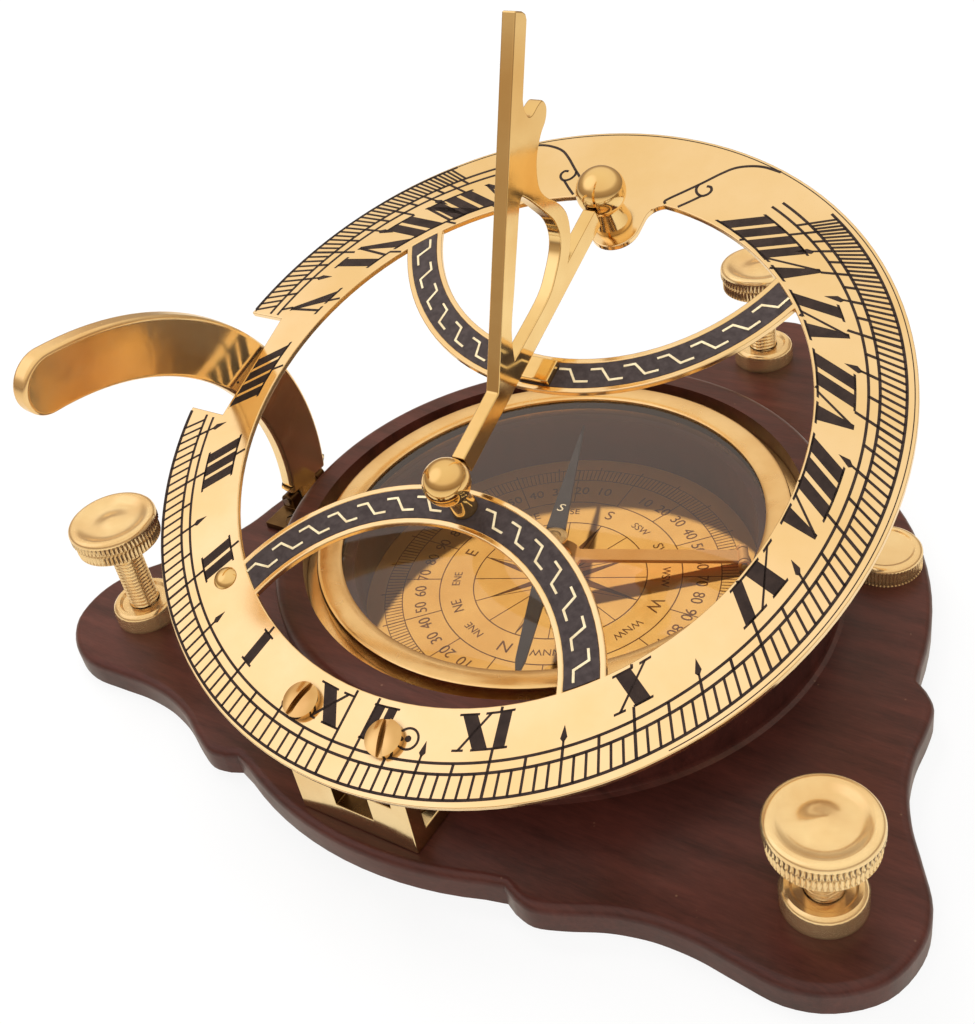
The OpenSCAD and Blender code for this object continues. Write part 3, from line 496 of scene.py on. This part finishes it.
def glyph(letter, x, wide=1.0):
    """Polygons (across, up) of one Roman numeral letter from x, and its width."""
    def bar(a, b, low=0.0, high=0.06):
        return [(x + a * wide, low), (x + b * wide, low), (x + b * wide, high), (x + a * wide, high)]

    def stroke(a, b, c, d):
        """Feet from a to b, tops from c to d."""
        return [(x + a * wide, 0), (x + b * wide, 0), (x + d * wide, 1), (x + c * wide, 1)]

    if letter == "I":
        return [bar(0.4, 2.1, 0, 1), bar(0, 2.5), bar(0, 2.5, 0.94, 1)], 2.35 * wide
    if letter == "V":
        return [stroke(2.35, 3.0, 0.45, 2.5), stroke(2.45, 2.85, 4.1, 4.5),
                bar(0, 2.95, 0.94, 1), bar(3.5, 5.0, 0.94, 1)], 4.75 * wide
    return [stroke(3.15, 5.35, 0.35, 2.55), stroke(0.55, 1.0, 4.6, 5.05),
            bar(0, 2.95, 0.94, 1), bar(3.9, 5.6, 0.94, 1),
            bar(0, 1.7), bar(2.8, 5.6)], 5.6 * wide


def numeral(inlay, text, side, phi, start=None, shift=0.0, wide=1.0):
    """A Roman numeral on the hour line at phi: centred, or from start, and moved by shift."""
    polys, x = [], 0.0
    for c in text:
        got, w = glyph(c, x, wide)
        polys += got
        x += w
    x0 = (-x / 2 if start is None else start) + shift
    for poly in polys:
        pts = [on_hour(side, phi, NUM_LOW + (NUM_HIGH - NUM_LOW) * up, x0 + ac) for ac, up in poly]
        if any(in_notch(px, py, 0.1) for px, py in pts):
            pts = [(max(px, NOTCH_FLOOR_U + 0.35), py) for px, py in pts]
        inlay.poly(pts)


def around(r, a):
    """A point of the scale's own circles."""
    x, y = polar(r, a)
    return x + ART[0], y + ART[1]


def round_mark(r, a):
    """A point of a circle around the mark beside XII."""
    return MARK[0] + r * math.cos(math.radians(a)), MARK[1] + r * math.sin(math.radians(a))


scale = Inlay(-0.05, 0.035)
# Each circle of the scale, its width and the two angles at which it ends
for r, w, near, far in ((LINE_OUT, LINE_W, -144.9, 143.5), (LINE_MID, LINE_W, -152.0, 151.0),
                        (LINE_IN, INNER_W, -152.6, 151.8)):
    clear_line(scale, [around(r, near + (far - near) * k / 400) for k in range(401)], w)
LEFT_NUMERALS = ["", "I", "II", "III", "IIII", "V", "VI", "VII", "VIII"]
RIGHT_NUMERALS = ["", "XI", "X", "IX", "VIII", "VII", "VI", "V", "IIII"]
SHIFTS = {"XI": -2.1, "IX": 2.5}  # how far a numeral stands beyond its hour line
for side, names in ((-1, LEFT_NUMERALS), (1, RIGHT_NUMERALS)):
    for step in range(0, HOURS * 12 + LAST_CELLS[side] + 1):
        phi = side * hour_phi(side, step / 12)
        outer, mid, inner = (on_hour(side, phi, r) for r in (LINE_OUT, LINE_MID, LINE_IN))
        if any(in_notch(*q, 0.35) for q in (outer, mid, inner)):
            continue
        scale.line([outer, mid], HOUR_TICK if step % 12 == 0 else CELL_TICK)
        if step % 3 == 0:
            scale.line([mid, inner], INNER_W)
        if step % 12 == 6:
            scale.line([inner, on_hour(side, phi, HALF_TICK)], HALF_W)
            scale.poly([on_hour(side, phi, ARROW_FOOT), on_hour(side, phi, ARROW_WIDE, ARROW_HALF),
                        on_hour(side, phi, ARROW_TIP), on_hour(side, phi, ARROW_WIDE, -ARROW_HALF)])
    for h in range(1, HOURS + 1):
        phi = side * hour_phi(side, h)
        scale.line([on_hour(side, phi, NUM_HIGH + 0.2),
                    on_hour(side, phi, BORE_R + 0.25, centre=(0, 0))], HOUR_W)
        scale.line([on_hour(side, phi, LINE_IN), on_hour(side, phi, NUM_LOW - 0.1)], HOUR_W)
        numeral(scale, names[h], side, phi, shift=SHIFTS.get(names[h], 0.0))
    phi = side * hour_phi(side, 0)
    scale.line([on_hour(side, phi, LINE_IN), on_hour(side, phi, BORE_R + 0.25, centre=(0, 0))],
               HOUR_W)
# The two halves of XII stand on either side of the gap at noon
numeral(scale, "X", -1, 0, start=-5.85, wide=1.15)
numeral(scale, "II", 1, 0, start=-0.35, wide=0.88)
# The mark beside XII: a circle with a dot
MARK = polar(53.0, 10.5)
scale.line([round_mark(MARK_R, a) for a in range(0, 361, 12)], MARK_W)
scale.poly([round_mark(MARK_DOT, a) for a in range(0, 360, 24)])


def flourish(inlay, side):
    """A curled pen stroke at one end of the plain field opposite XII."""
    stem = [(61.9, 156.5), (61.4, 159.4), (60.5, 161.6), (59.1, 163.6), (57.1, 165.1),
            (54.1, 167.0), (51.3, 169.2), (49.4, 170.9), (48.6, 171.4), (48.2, 170.9)]
    curl = [(53.7, 167.3), (52.8, 167.2), (52.0, 166.4), (51.8, 165.2), (52.5, 164.4), (53.4, 164.3),
            (54.0, 164.9), (53.9, 165.7)]
    tail = [(51.8, 165.2), (49.9, 166.6), (48.3, 168.0)]
    for pts, w in ((stem, 0.46), (curl, 0.46), (tail, 0.44)):
        inlay.line(smooth_line([polar(r, side * a) for r, a in pts], 6), w)


def smooth_line(p, steps):
    """A smooth curve through the points."""
    p = [Vector(q) for q in p]
    out = []
    for i in range(len(p) - 1):
        a, b, c, d = p[max(i - 1, 0)], p[i], p[i + 1], p[min(i + 2, len(p) - 1)]
        for k in range(steps):
            t = k / steps
            out.append(0.5 * (2 * b + (c - a) * t + (2 * a - 5 * b + 4 * c - d) * t * t
                              + (3 * b - a - 3 * c + d) * t ** 3))
    return [tuple(q) for q in out + [p[-1]]]


# The thin line just inside the ring's rim, from 48 to 315 degrees
clear_line(scale, [polar(RIM_LINE, a / 2) for a in range(96, 631)], 0.14)
flourish(scale, 1)
flourish(scale, -1)
scale.build("hour_scale_marks", INK, "ring", RING)


# Enamel bridges
def bridge_point(v, side, rho, a):
    """A point of a bridge: rho from its centre, a degrees along it from the middle."""
    return rho * math.sin(a), v + side * rho * math.cos(a)


def bridge(name, spec, side, first_inner, count, keep_out):
    """Enamel in a bridge's channel, and the zigzag laid in it, with keep_out free at the middle."""
    v, r, w = spec
    low, high = r - w / 2 + BRIDGE_RIM + 0.02, r + w / 2 - BRIDGE_RIM - 0.02
    d = abs(v)

    def limit(rho):
        """The half angle at which a circle of the bridge meets the bore."""
        return math.acos((rho * rho + d * d - (BORE_R - 0.1) ** 2) / (2 * rho * d))

    rows, cols = 8, 90
    verts, faces = [], []
    for h in (-CHANNEL - 0.02, -0.09):
        for j in range(rows + 1):
            rho = low + (high - low) * j / rows
            for i in range(cols + 1):
                x, y = bridge_point(v, side, rho, limit(rho) * (2 * i / cols - 1))
                verts.append((x, y, h))
    layer = (rows + 1) * (cols + 1)
    for j in range(rows):
        for i in range(cols):
            q = j * (cols + 1) + i
            quad = (q, q + 1, q + cols + 2, q + cols + 1)
            faces.append(quad)
            faces.append(tuple(layer + k for k in reversed(quad)))
    edge = (list(range(cols + 1)) + [j * (cols + 1) + cols for j in range(1, rows + 1)]
            + [rows * (cols + 1) + i for i in range(cols - 1, -1, -1)]
            + [j * (cols + 1) for j in range(rows - 1, 0, -1)])
    for i, a in enumerate(edge):
        b = edge[(i + 1) % len(edge)]
        faces.append((a, b, layer + b, layer + a))
    add(name + "_enamel", verts, faces, ENAMEL, "ring", RING)
    motif = Inlay(-0.1, -0.01)
    reach = limit(r) * r - 0.6
    pitch = (reach - keep_out) / count
    for half in (-1, 1):
        for k in range(count):
            start = keep_out + 0.35 + k * pitch if half > 0 else -keep_out - 0.35 - (k + 1) * pitch
            length = pitch * 1.02
            pts = []
            for along, across in ((0.0, 1), (0.34, 1), (0.58, -1), (0.96, -1)):
                off = 1.15 * across * (-1 if first_inner else 1)
                pts.append(bridge_point(v, side, r + off, (start + length * along) / r))
            motif.line(pts, 0.38)
    motif.build(name + "_zigzag", CREAM, "ring", RING)


bridge("near_bridge", NEAR_BRIDGE, 1, False, 7, 3.2)
bridge("far_bridge", FAR_BRIDGE, -1, True, 7, 3.6)


# Compass dial print
PRINT = Inlay(0, PRINT_T)
ROSE_R, POINTS_R, DEGREES_IN, DEGREES_OUT, HUB_R = 15.6, 21.8, 28.6, 31.8, 2.6
for r, w in ((ROSE_R, 0.2), (POINTS_R, 0.2), (DEGREES_IN, 0.18), (DEGREES_OUT, 0.14)):
    PRINT.line([polar(r, a) for a in range(0, 361, 3)], w)
for k in range(0, 240):
    a = k * 1.5
    PRINT.line([polar(DEGREES_IN, a), polar(DEGREES_OUT if k % 10 else 32.6, a)],
               0.13 if k % 5 else 0.2)
for k in range(16):
    a = k * 22.5
    PRINT.line([polar(HUB_R, a), polar(ROSE_R, a)], 0.15)
    PRINT.line([polar(POINTS_R, a), polar(DEGREES_IN, a)], 0.17)
for k in range(8):
    a = k * 45.0
    tip, wide = (13.0, 0.95) if k % 2 else (15.4, 1.25)
    tip_p, left, right = polar(tip, a), polar(3.6, a - 22.5 * wide), polar(3.6, a + 22.5 * wide)
    PRINT.line([left, tip_p, right], 0.16)
    PRINT.poly([polar(HUB_R, a), left if k % 2 else right, tip_p])


def dial_text(text, r, a, size):
    """Letters on the dial with their tops outwards; a is counted from the XII side towards +X."""
    verts, faces = letter_mesh(text, size)
    cx, cy = polar(r, a)
    t = math.radians(a - 90) - math.pi / 2
    c, s = math.cos(t), math.sin(t)
    PRINT.mesh(verts, faces, lambda q: (cx + q[0] * c - q[1] * s, cy + q[0] * s + q[1] * c,
                                        q[2] + PRINT_T / 2))


POINTS = ["N", "NNE", "NE", "ENE", "E", "ESE", "SE", "SSE", "S", "SSW", "SW", "WSW", "W", "WNW",
          "NW", "NNW"]
POINT_SIZES = {1: 3.4, 2: 2.7, 3: 2.1}  # letter height for each length of word
for k, word in enumerate(POINTS):
    dial_text(word, 18.8, -22.5 * k, POINT_SIZES[len(word)])
for quarter in range(4):
    for k in range(1, 10 if quarter % 2 == 0 else 9):
        a = quarter * 90 + k * 10
        dial_text(str(k * 10 if quarter % 2 == 0 else 90 - k * 10), 25.2, -a, 3.0)
PRINT.build("dial_print", DIAL_INK, "base",
            Matrix.Translation((0, 0, DIAL_TOP)))
LETTER_REACH, LETTER_SIZE = -8.5, 2.9
needle_mark = Inlay(0, PRINT_T)
mark_x, mark_y = LETTER_REACH * math.cos(NEEDLE_DIR), LETTER_REACH * math.sin(NEEDLE_DIR)
needle_mark.mesh(*letter_mesh("S", LETTER_SIZE),
                 lambda q: (mark_x + q[0], mark_y + q[1], q[2] + PRINT_T / 2))
needle_mark.build("needle_letter", CREAM, "needle",
                  Matrix.Translation((0, 0, NEEDLE_TOP)))


# Turned pieces
def knurl(depth, bands, thread=None):
    """Relief of a turned piece: flutes within the bands, a screw thread below the neck."""
    def relief(r, z, a):
        for low, high, least in bands:
            if low <= z <= high and r > least:
                return r - depth * (0.5 - 0.5 * math.cos(TEETH * a)) ** 0.7
        if thread and thread[0] < z < thread[1]:
            t = (z / THREAD - a / (2 * math.pi)) % 1.0
            return r - 0.3 * abs(2 * t - 1)
        return r
    return relief


def screw_profile():
    """A levelling screw: shank, collar, lower and upper knurled band, and the dished top."""
    low, top = SCREW_LEN - HEAD_H, SCREW_LEN
    pts = [(0, 0), (SHANK_R - 0.6, 0), (SHANK_R, 0.6)]
    z = 0.6
    while z < low - 1.35:
        z += THREAD / 5
        pts.append((SHANK_R, z))
    pts += [(SHANK_R, low - 1.2), (SHANK_R + 0.9, low - 0.6), (SHANK_R + 1.2, low),
            (HEAD_R - 1.2, low), (HEAD_R - 0.9, low + 0.06), (HEAD_R - 0.4, low + 0.4),
            (HEAD_R - 0.35, low + 0.6), (HEAD_R - 0.35, low + 2.0), (HEAD_R - 0.5, low + 2.2),
            (HEAD_R - 0.75, low + 2.35), (HEAD_R - 0.8, low + 2.55), (HEAD_R - 0.7, low + 2.75),
            (HEAD_R - 0.15, low + 2.85), (HEAD_R, low + 3.0), (HEAD_R, top - 1.15),
            (HEAD_R, top - 1.05), (HEAD_R - 0.02, top - 0.85), (HEAD_R - 0.12, top - 0.5),
            (HEAD_R - 0.35, top - 0.2), (HEAD_R - 0.7, top - 0.03), (HEAD_R - 1.05, top),
            (HEAD_R - 1.5, top - 0.06), (HEAD_R - 2.0, top - 0.3), (HEAD_R - 2.6, top - 0.62),
            (HEAD_R - 3.3, top - 0.84), (HEAD_R - 4.1, top - 0.92), (HEAD_R - 5.0, top - 0.82),
            (HEAD_R - 5.9, top - 0.6), (HEAD_R - 6.8, top - 0.34), (HEAD_R - 7.5, top - 0.18),
            (0, top - 0.12)]
    return pts


for body, (turn, reach, tip) in SCREWS.items():
    low = SCREW_LEN - HEAD_H
    place = Matrix.Rotation(math.radians(turn), 4, "Z") @ Matrix.Translation((reach, 0, tip))
    bands = [(low + 0.6, low + 2.0, HEAD_R - 1), (low + 3.0, SCREW_LEN - 1.15, HEAD_R - 1)]
    lathe("level" + body, screw_profile(), body, place, knurl(0.34, bands, (0.6, low - 1.3)),
          "levelling_" + body)
KNOB_PROFILE = [(0, 0.4), (2, 0.4), (2, 5), (KNOB_R, 5), (KNOB_R, 5.25), (KNOB_R, 5.3),
                (KNOB_R, 7.7), (KNOB_R, 7.8), (6.25, 8.1), (6.0, 8.45), (5.6, 8.66), (5.2, 8.7),
                (4.9, 8.66), (4.7, 8.5), (4.4, 8.45), (2.2, 8.5), (0, 8.45)]
lathe("arrest_knob_turned", KNOB_PROFILE, "arrest_knob",
      Matrix.Rotation(KNOB_DIR, 4, "Z") @ Matrix.Translation((KNOB_REACH, 0, 0)),
      knurl(0.22, [(5.25, 7.75, 6.0)]), "arrest_knob")

# Finishes of the CAD nodes
for name, mat, slot_name, bevel in (
        ("base_plate", WOOD, "lacquered_wood", 0), ("compass_case", WOOD, "lacquered_wood", 0),
        ("levelling_bush_left", CAST_BRASS, "polished_brass", 0),
        ("levelling_bush_right", CAST_BRASS, "polished_brass", 0),
        ("levelling_bush_rear", CAST_BRASS, "polished_brass", 0),
        ("compass_bezel", BEZEL_BRASS, "polished_brass", 0),
        ("glass_retaining_ring", BEZEL_BRASS, "polished_brass", 0),
        ("compass_glass", GLASS, "glass", 0), ("compass_dial", DIAL, "printed_dial", 0),
        ("needle_pivot", STEEL, "steel_pins", 0), ("compass_needle", NEEDLE, "dark_needle", 0.06),
        ("needle_cap", CAST_BRASS, "polished_brass", 0), ("arrest_lever", LEVER, "polished_brass", 0.1),
        ("lever_bracket", LEVER, "polished_brass", 0.1), ("lever_pin", STEEL, "steel_pins", 0),
        ("hinge_bracket", BRACKET_BRASS, "polished_brass", 0.22),
        ("bracket_screws", CAST_BRASS, "polished_brass", 0), ("hinge_pin", STEEL, "steel_pins", 0),
        ("ring_hinge_leaf", PART_BRASS, "polished_brass", 0.15),
        ("leaf_screws", SCREW_BRASS, "polished_brass", 0),
        ("hour_ring", RING_BRASS, "polished_brass", 0.22),
        ("ring_rivet", PART_BRASS, "polished_brass", 0),
        ("near_ball_post", PART_BRASS, "polished_brass", 0),
        ("far_ball_post", PART_BRASS, "polished_brass", 0),
        ("style_rest_block", PART_BRASS, "polished_brass", 0.2),
        ("gnomon", PART_BRASS, "polished_brass", 0.25),
        ("latitude_arc", ARC_BRASS, "polished_brass", 0.8),
        ("arc_foot", FOOT_BRASS, "polished_brass", 0.12),
        ("arc_foot_screw", FOOT_BRASS, "polished_brass", 0), ("arc_pin", STEEL, "steel_pins", 0)):
    dress(name, mat, bevel)

# Painted shade: the faces inside the bracket's window take the dark foot brass, standing in for the
# shade in that recess
bracket = bpy.data.objects["hinge_bracket_finish"].data
bracket.materials.append(FOOT_BRASS)
for face in bracket.polygons:
    spot = face.center / MM
    if all(low < c < high for c, (low, high) in zip(spot, (WINDOW_X, WINDOW_Y, WINDOW_Z))):
        face.material_index = 1


# Stage, lights and camera
def stage_plane(size):
    """A pale floor: white to the camera, and fading outwards in the brass that mirrors it."""
    mesh = bpy.data.meshes.new("floor")
    mesh.from_pydata([(-size, -size, 0), (size, -size, 0), (size, size, 0), (-size, size, 0)], [],
                     [(0, 1, 2, 3)])
    floor = bpy.data.objects.new("floor", mesh)
    bpy.context.scene.collection.objects.link(floor)
    m, t, out = material("floor_paper")
    path = node(t, "ShaderNodeLightPath")
    shown = node(t, "ShaderNodeMath", {0: path.outputs["Is Camera Ray"],
                                       1: path.outputs["Is Glossy Ray"]}, operation="MAXIMUM")
    shown = node(t, "ShaderNodeMath", {0: shown.outputs[0], 1: path.outputs["Is Transmission Ray"]},
                 operation="MAXIMUM")
    share = node(t, "ShaderNodeMath", {0: shown.outputs[0], 1: 0.86}, operation="MULTIPLY")
    paper = node(t, "ShaderNodeBsdfDiffuse", {
        "Color": ramp(t, noise(t, coords(t), 30, 2, 0.5), [(0.3, grey(0.86)), (0.7, grey(0.9))])})
    away = node(t, "ShaderNodeVectorMath", {0: coords(t)}, operation="LENGTH").outputs["Value"]
    fade = ramp(t, span(t, away, 0.1, 0.7, 0.0, 1.0),
                [(0.0, (0.95, 0.86, 0.74)), (0.3, (0.8, 0.66, 0.5)), (1.0, (0.34, 0.25, 0.18))])
    seen = node(t, "ShaderNodeMix", {0: path.outputs["Is Camera Ray"], 6: fade, 7: (1, 1, 1, 1)},
                data_type="RGBA")
    glow = node(t, "ShaderNodeEmission", {"Color": seen.outputs[2], "Strength": 1.0})
    mix = node(t, "ShaderNodeMixShader", {0: share.outputs[0], 1: paper.outputs[0],
                                          2: glow.outputs[0]})
    t.links.new(mix.outputs[0], out.inputs["Surface"])
    mesh.materials.append(m)


stage_plane(3.0)

world = bpy.data.worlds.new("studio")
bpy.context.scene.world = world
world.use_nodes = True
wt = world.node_tree
wt.nodes.clear()
w_out = wt.nodes.new("ShaderNodeOutputWorld")
path = node(wt, "ShaderNodeLightPath")
mirror = node(wt, "ShaderNodeMath", {0: path.outputs["Is Glossy Ray"],
                                     1: path.outputs["Is Transmission Ray"]}, operation="MAXIMUM")
direction = node(wt, "ShaderNodeTexCoord").outputs["Generated"]
height = node(wt, "ShaderNodeSeparateXYZ", {0: direction}).outputs["Z"]
PANE_TOWARDS = Vector((-109, -76, 149)).normalized()  # the brightest part of the studio
toward = node(wt, "ShaderNodeVectorMath", {0: direction, 1: tuple(PANE_TOWARDS)},
              operation="DOT_PRODUCT").outputs["Value"]
walls = ramp(wt, height, [(0.0, (0.34, 0.24, 0.16)), (0.3, (0.5, 0.38, 0.27)),
                          (0.5, (0.9, 0.77, 0.62)), (1.0, (0.97, 0.86, 0.7))])
pane = node(wt, "ShaderNodeMapRange", {"Value": toward, "From Min": 0.8, "From Max": 0.97,
                                       "To Min": 0.0, "To Max": 1.0},
            interpolation_type="SMOOTHSTEP").outputs["Result"]
room = node(wt, "ShaderNodeMix", {0: pane, 6: walls, 7: (1.2, 1.08, 1.0, 1)},
            data_type="RGBA").outputs[2]
dim = node(wt, "ShaderNodeBackground", {"Color": (1, 0.98, 0.96, 1), "Strength": 0.09})
bright = node(wt, "ShaderNodeBackground", {"Color": room, "Strength": 1.0})
white = node(wt, "ShaderNodeBackground", {"Color": (1, 1, 1, 1), "Strength": 1.0})
first = node(wt, "ShaderNodeMixShader", {0: mirror.outputs[0], 1: dim.outputs[0],
                                         2: bright.outputs[0]})
second = node(wt, "ShaderNodeMixShader", {0: path.outputs["Is Camera Ray"], 1: first.outputs[0],
                                          2: white.outputs[0]})
wt.links.new(second.outputs[0], w_out.inputs["Surface"])
world.cycles.sampling_method = "NONE"

# The key lights only what lies under the glass, and only the case and its pieces shade it
INSIDE = [o for o in bpy.data.objects if o.name in (
    "compass_dial_finish", "dial_print", "compass_needle_finish", "needle_cap_finish", "needle_letter",
    "needle_pivot_finish", "arrest_lever_finish", "lever_bracket_finish", "lever_pin_finish")]
SHADERS = INSIDE + [o for o in bpy.data.objects if o.name in (
    "compass_case_finish", "compass_bezel_finish", "glass_retaining_ring_finish")]


def group(name, objects, state=None):
    """A collection for light linking."""
    c = bpy.data.collections.new(name)
    for o in objects:
        c.objects.link(o)
    if state:
        for item in c.collection_objects:
            item.light_linking.link_state = state
    return c


def lamp(name, kind, spot, aim, energy, colour=(1, 1, 1), **props):
    data = bpy.data.lights.new(name, kind)
    data.energy, data.color = energy, colour
    for key, value in props.items():
        setattr(data, key, value)
    obj = bpy.data.objects.new(name, data)
    bpy.context.scene.collection.objects.link(obj)
    obj.location = spot
    obj.rotation_euler = (Vector(aim) - Vector(spot)).to_track_quat("-Z", "Y").to_euler()
    return obj


KEY = Vector((-0.845, 0.986, 1.0)).normalized()
key = lamp("dial_key", "SUN", KEY * 0.6, (0, 0, 0), 6.3, (1, 0.95, 0.87), angle=math.radians(2.5))
key.visible_glossy = False
key.light_linking.receiver_collection = group("lit_by_key", INSIDE)
key.light_linking.blocker_collection = group("shade_of_key", SHADERS)
outside = group("not_inside", INSIDE, "EXCLUDE")
for name, spot, energy, size in (("soft_left", (-0.55, 0.35, 0.65), 9.0, 0.7),
                                 ("soft_front", (0.35, -0.75, 0.55), 6.0, 0.8),
                                 ("soft_top", (0.2, 0.1, 0.95), 5.0, 0.9)):
    soft = lamp(name, "AREA", spot, (0, 0, 0.02), energy, (1, 0.98, 0.95), size=size, shape="SQUARE")
    soft.light_linking.receiver_collection = outside
    soft.visible_glossy = False

# The camera was fitted to the photograph's outlines
CAMERA_SPOT = (0.10897919, -0.14907287, 0.16504012)
CAMERA_TURN = Quaternion((0.86982356, 0.40091666, 0.1910208, 0.21490432))
cam_data = bpy.data.cameras.new("photo_camera")
cam_data.sensor_width, cam_data.lens = 36.0, 47.756
cam_data.clip_start, cam_data.clip_end = 0.01, 20.0
camera = bpy.data.objects.new("photo_camera", cam_data)
bpy.context.scene.collection.objects.link(camera)
camera.location = CAMERA_SPOT
camera.rotation_mode = "QUATERNION"
camera.rotation_quaternion = CAMERA_TURN
bpy.context.scene.camera = camera
bpy.context.scene.view_settings.view_transform = "Standard"
